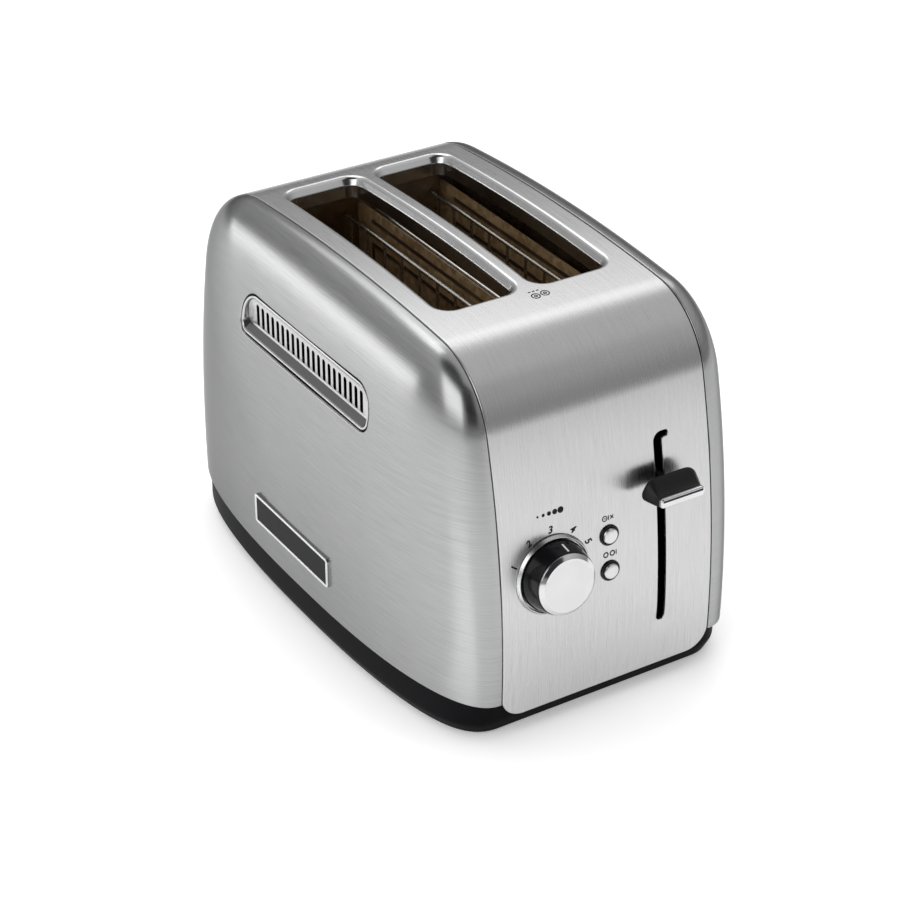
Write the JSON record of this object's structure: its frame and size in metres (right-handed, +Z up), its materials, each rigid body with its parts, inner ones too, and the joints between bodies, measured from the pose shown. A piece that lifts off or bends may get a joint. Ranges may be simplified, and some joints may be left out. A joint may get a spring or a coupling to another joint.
{
  "type": "pop-up toaster",
  "caption": "Two-slot pop-up toaster with brushed steel wrap, bowed side shells, front lever, shade dial, push buttons, side vents and rear crumb tray.",
  "frame": {"origin": "centre of the whole toaster's box, on the table under its feet", "axes": "+Z up, -Y out of the control panel, +X to the right for someone facing the panel"},
  "size_m": [0.1812, 0.2908, 0.192],
  "materials": {
    "brushed_steel": "fine directional brushing",
    "polished_steel": "polished",
    "black_plastic": "fine moulded texture",
    "gloss_black": "gloss",
    "rubber": "matte",
    "zinc_sheet": "galvanised sheet, satin",
    "reflector_steel": "heat-tinted bright sheet",
    "wire_steel": "drawn wire, satin",
    "mica": "pearly mica sheet",
    "resistance_ribbon": "oxidised resistance ribbon",
    "magnet_iron": "laminated iron",
    "copper_winding": "enamelled copper wire",
    "circuit_board": "solder mask",
    "white_plastic": "satin",
    "blue_plastic": "satin"
  },
  "bodies": {
    "casing": {"wrap_panel": "brushed_steel", "side_shell_left": "brushed_steel", "side_shell_right": "brushed_steel", "vent_grille_left": "polished_steel", "vent_grille_right": "polished_steel", "badge_frame": "polished_steel", "badge_plate": "gloss_black", "base_tray": "black_plastic", "feet": "rubber", "cord_gland": "black_plastic", "front_frame": "zinc_sheet", "rear_frame": "zinc_sheet", "reflector_left": "reflector_steel", "reflector_right": "reflector_steel", "heater_card_left": "mica", "heater_card_centre": "mica", "heater_card_right": "mica", "heater_ribbon_left": "resistance_ribbon", "heater_ribbon_centre": "resistance_ribbon", "heater_ribbon_right": "resistance_ribbon", "guide_rod": "wire_steel", "lift_spring": "wire_steel", "magnet_core": "magnet_iron", "magnet_coil": "copper_winding", "control_board": "circuit_board", "shade_potentiometer": "blue_plastic", "cancel_switch": "black_plastic", "bagel_switch": "black_plastic", "mains_switch": "white_plastic", "terminal_block": "white_plastic", "dial_ring": "polished_steel", "button_ring_upper": "black_plastic", "button_ring_lower": "black_plastic", "base_screws": "zinc_sheet", "frame_screws": "zinc_sheet"},
    "carriage": {"carriage": "zinc_sheet", "carriage_bush": "white_plastic", "lever_arm": "zinc_sheet", "lever_handle": "black_plastic", "lever_trim": "polished_steel", "armature": "magnet_iron", "rack_left": "wire_steel", "rack_right": "wire_steel"},
    "shade_knob": {"knob_shaft": "zinc_sheet", "knob_body": "gloss_black", "knob_cap": "polished_steel", "knob_pointer": "white_plastic"},
    "cancel_button": {"cancel_button": "polished_steel"},
    "bagel_button": {"bagel_button": "polished_steel"},
    "crumb_tray": {"crumb_tray": "zinc_sheet", "crumb_tray_handle": "black_plastic"},
    "guard_left_outer": {"guard_left_outer": "wire_steel"},
    "guard_left_inner": {"guard_left_inner": "wire_steel"},
    "guard_right_inner": {"guard_right_inner": "wire_steel"},
    "guard_right_outer": {"guard_right_outer": "wire_steel"}
  },
  "joints": [
    {"name": "carriage_slide", "type": "slide", "parent": "casing", "child": "carriage", "axis": [0, 0, 1], "range_m": [-0.066, 0.016], "stiffness_N_per_m": 60, "springref_m": 0.0205, "deforming": ["lift_spring"]},
    {"name": "shade_dial", "type": "hinge", "parent": "casing", "child": "shade_knob", "pos_m": [-0.0304, -0.13067, 0.083], "axis": [0, -0.9959, 0.091], "range_deg": [-54, 72]},
    {"name": "cancel_press", "type": "slide", "parent": "casing", "child": "cancel_button", "axis": [0, 0.9959, -0.091], "range_m": [0, 0.0018], "stiffness_N_per_m": 600, "springref_m": -0.001},
    {"name": "bagel_press", "type": "slide", "parent": "casing", "child": "bagel_button", "axis": [0, 0.9959, -0.091], "range_m": [0, 0.0018], "stiffness_N_per_m": 600, "springref_m": -0.001},
    {"name": "crumb_tray_slide", "type": "slide", "parent": "casing", "child": "crumb_tray", "axis": [0, 1, 0], "range_m": [0, 0.185]},
    {"name": "guard_left_outer_tilt", "type": "hinge", "parent": "casing", "child": "guard_left_outer", "pos_m": [-0.04225, 0.0063, 0.036], "axis": [0, 1, 0], "range_deg": [-1.6, 6.2]},
    {"name": "guard_left_inner_tilt", "type": "hinge", "parent": "casing", "child": "guard_left_inner", "pos_m": [-0.00725, 0.0063, 0.036], "axis": [0, 1, 0], "range_deg": [-6.2, 1.6]},
    {"name": "guard_right_inner_tilt", "type": "hinge", "parent": "casing", "child": "guard_right_inner", "pos_m": [0.00845, 0.0063, 0.036], "axis": [0, 1, 0], "range_deg": [-1.6, 6.2]},
    {"name": "guard_right_outer_tilt", "type": "hinge", "parent": "casing", "child": "guard_right_outer", "pos_m": [0.04345, 0.0063, 0.036], "axis": [0, 1, 0], "range_deg": [-6.2, 1.6]}
  ],
  "couplings": [
    {"joint": "guard_left_outer_tilt", "follows": "carriage_slide", "rad_per_m": -1.6},
    {"joint": "guard_left_inner_tilt", "follows": "carriage_slide", "rad_per_m": 1.6},
    {"joint": "guard_right_inner_tilt", "follows": "carriage_slide", "rad_per_m": -1.6},
    {"joint": "guard_right_outer_tilt", "follows": "carriage_slide", "rad_per_m": 1.6}
  ]
}
